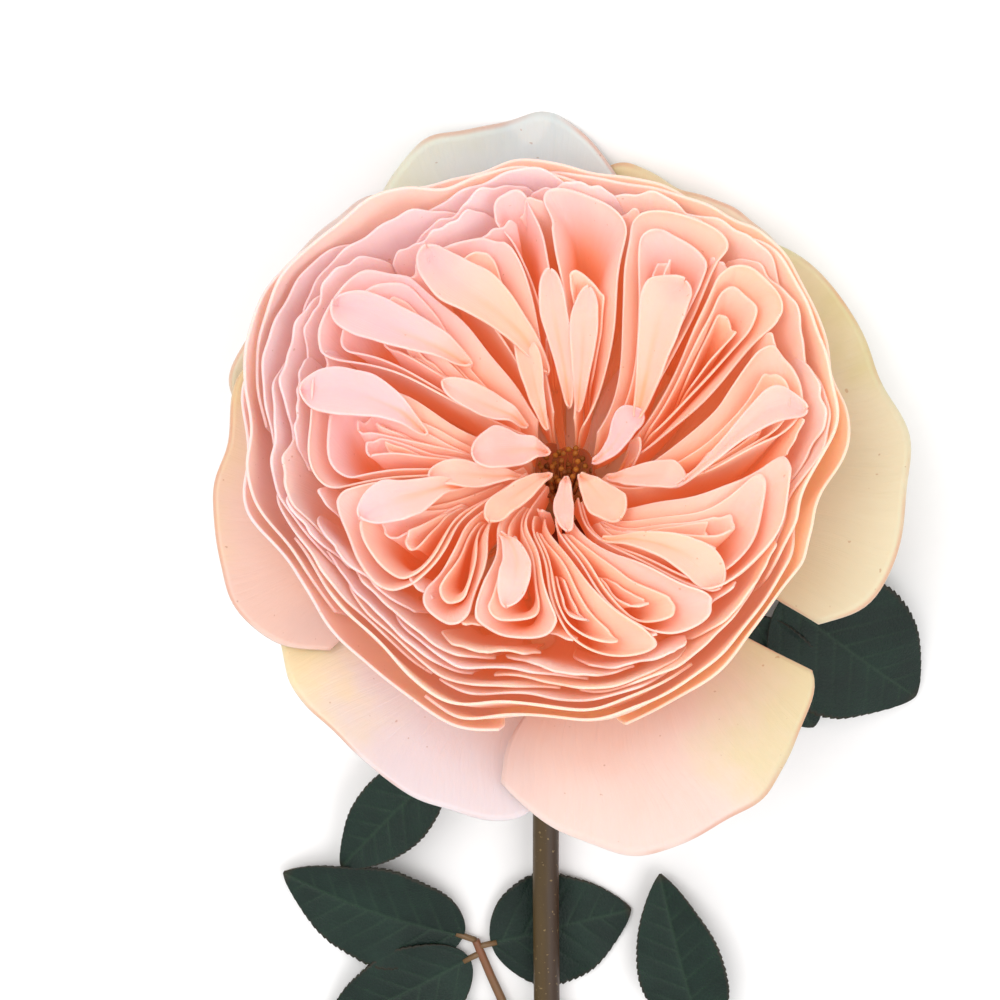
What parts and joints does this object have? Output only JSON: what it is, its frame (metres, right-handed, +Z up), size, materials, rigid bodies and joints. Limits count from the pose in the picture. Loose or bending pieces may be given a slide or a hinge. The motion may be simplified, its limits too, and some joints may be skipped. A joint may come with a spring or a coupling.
{
  "type": "cut rose",
  "caption": "Cut garden rose lying on its side: one large quartered, swirling double bloom on a bent neck, with a long smooth stem and compound leaves.",
  "frame": {"origin": "bottom centre of the rose's box: on the surface that it lies on, under the middle of its length and width", "axes": "+Z up from the surface it lies on; +Y along the stem from its cut end to the bloom; +X to the right when the bloom is seen from above with the stem towards the viewer"},
  "size_m": [0.126, 0.2866, 0.0849],
  "materials": {
    "inner_petal": "soft satin petal, apricot peach, deeper orange in the folds, with pale pink rims",
    "cup_petal": "soft satin petal, peach with pale pink-lilac backs and cream rims",
    "guard_petal": "matte pale pink-cream petal with green-yellow tints and thin pink-brown edges",
    "stamens": "matte golden-brown anthers",
    "stem_skin": "smooth satin olive-brown bark with reddish sides",
    "green_skin": "satin mid green, with reddish tips",
    "leaf": "satin dark green-teal leaf with fine pale veins"
  },
  "bodies": {
    "root": {"hip": "green_skin", "leaf_left": "leaf", "leaf_low": "leaf", "leaf_right": "leaf", "leaf_upper": "leaf", "petal_cup_1": "cup_petal", "petal_cup_2": "cup_petal", "petal_cup_3": "cup_petal", "petal_cup_4": "cup_petal", "petal_cup_5": "cup_petal", "petal_cup_6": "cup_petal", "petal_cup_7": "cup_petal", "petal_cup_8": "cup_petal", "petal_cup_9": "cup_petal", "petal_east_inner": "inner_petal", "petal_east_low_inner": "inner_petal", "petal_east_low_outer": "inner_petal", "petal_east_north_inner": "inner_petal", "petal_east_north_outer": "inner_petal", "petal_east_outer": "inner_petal", "petal_east_south_outer": "inner_petal", "petal_eye_1": "inner_petal", "petal_eye_2": "inner_petal", "petal_eye_3": "inner_petal", "petal_eye_4": "inner_petal", "petal_guard_east": "guard_petal", "petal_guard_north": "guard_petal", "petal_guard_north_east": "guard_petal", "petal_guard_north_west": "guard_petal", "petal_guard_south_east": "guard_petal", "petal_guard_south_west": "guard_petal", "petal_guard_west": "guard_petal", "petal_north_east_inner": "inner_petal", "petal_north_east_outer": "inner_petal", "petal_north_inner": "inner_petal", "petal_north_outer": "inner_petal", "petal_north_west_inner": "inner_petal", "petal_north_west_outer": "inner_petal", "petal_north_west_sliver_outer": "inner_petal", "petal_south_east_inner": "inner_petal", "petal_south_east_outer": "inner_petal", "petal_south_inner": "inner_petal", "petal_south_outer": "inner_petal", "petal_south_west_outer": "inner_petal", "petal_west_inner": "inner_petal", "petal_west_north_inner": "inner_petal", "petal_west_north_outer": "inner_petal", "petal_west_outer": "inner_petal", "petal_west_south_inner": "inner_petal", "petal_west_south_outer": "inner_petal", "sepal_1": "green_skin", "sepal_2": "green_skin", "sepal_3": "green_skin", "sepal_4": "green_skin", "sepal_5": "green_skin", "stamens": "stamens", "stem": "stem_skin"}
  },
  "joints": []
}
